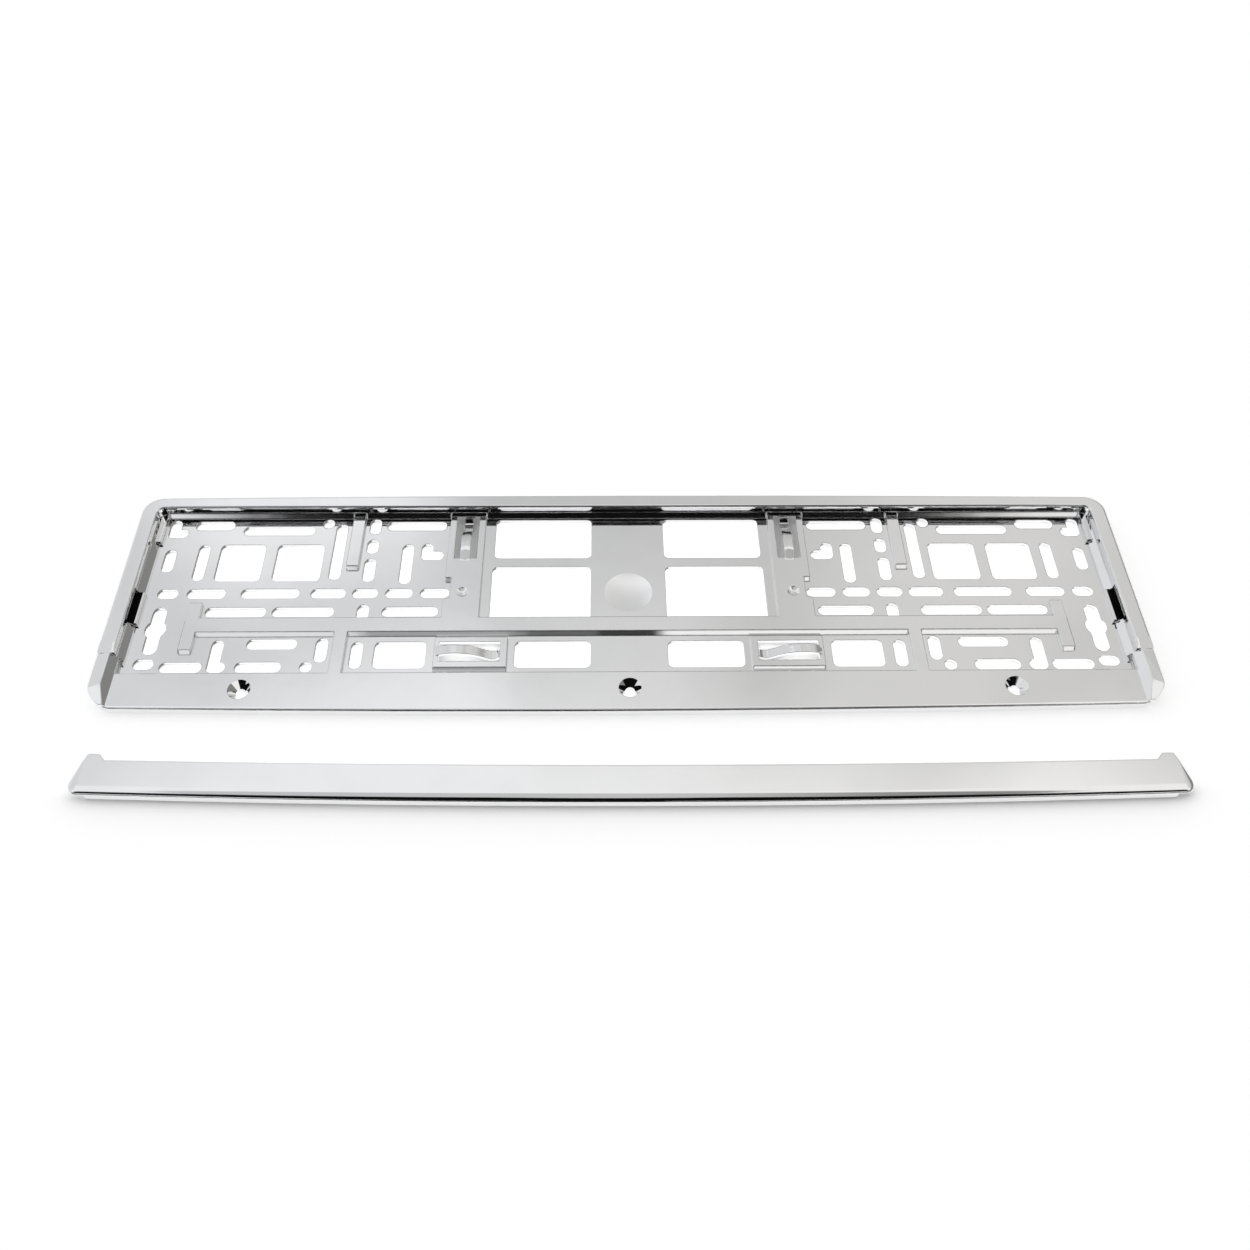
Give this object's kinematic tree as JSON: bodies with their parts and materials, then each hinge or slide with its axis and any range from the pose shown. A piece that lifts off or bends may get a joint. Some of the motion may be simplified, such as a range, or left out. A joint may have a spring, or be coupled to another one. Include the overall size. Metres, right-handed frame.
{
  "type": "number plate holder",
  "caption": "Chromed number plate holder: slotted backing frame with a raised rim, spring leaves and screw holes, its clip-on lower cover strip lying loose in front.",
  "frame": {"origin": "axis of the middle screw hole, on the back plane that meets the car", "axes": "+X along the number plate to the right, +Y up the plate, +Z out of the plate's face"},
  "size_m": [0.5422, 0.1902, 0.0112],
  "materials": {
    "frame_chrome": "polished",
    "strip_chrome": "polished"
  },
  "bodies": {
    "root": {"base_frame": "frame_chrome", "cover_strip": "strip_chrome"}
  },
  "joints": []
}
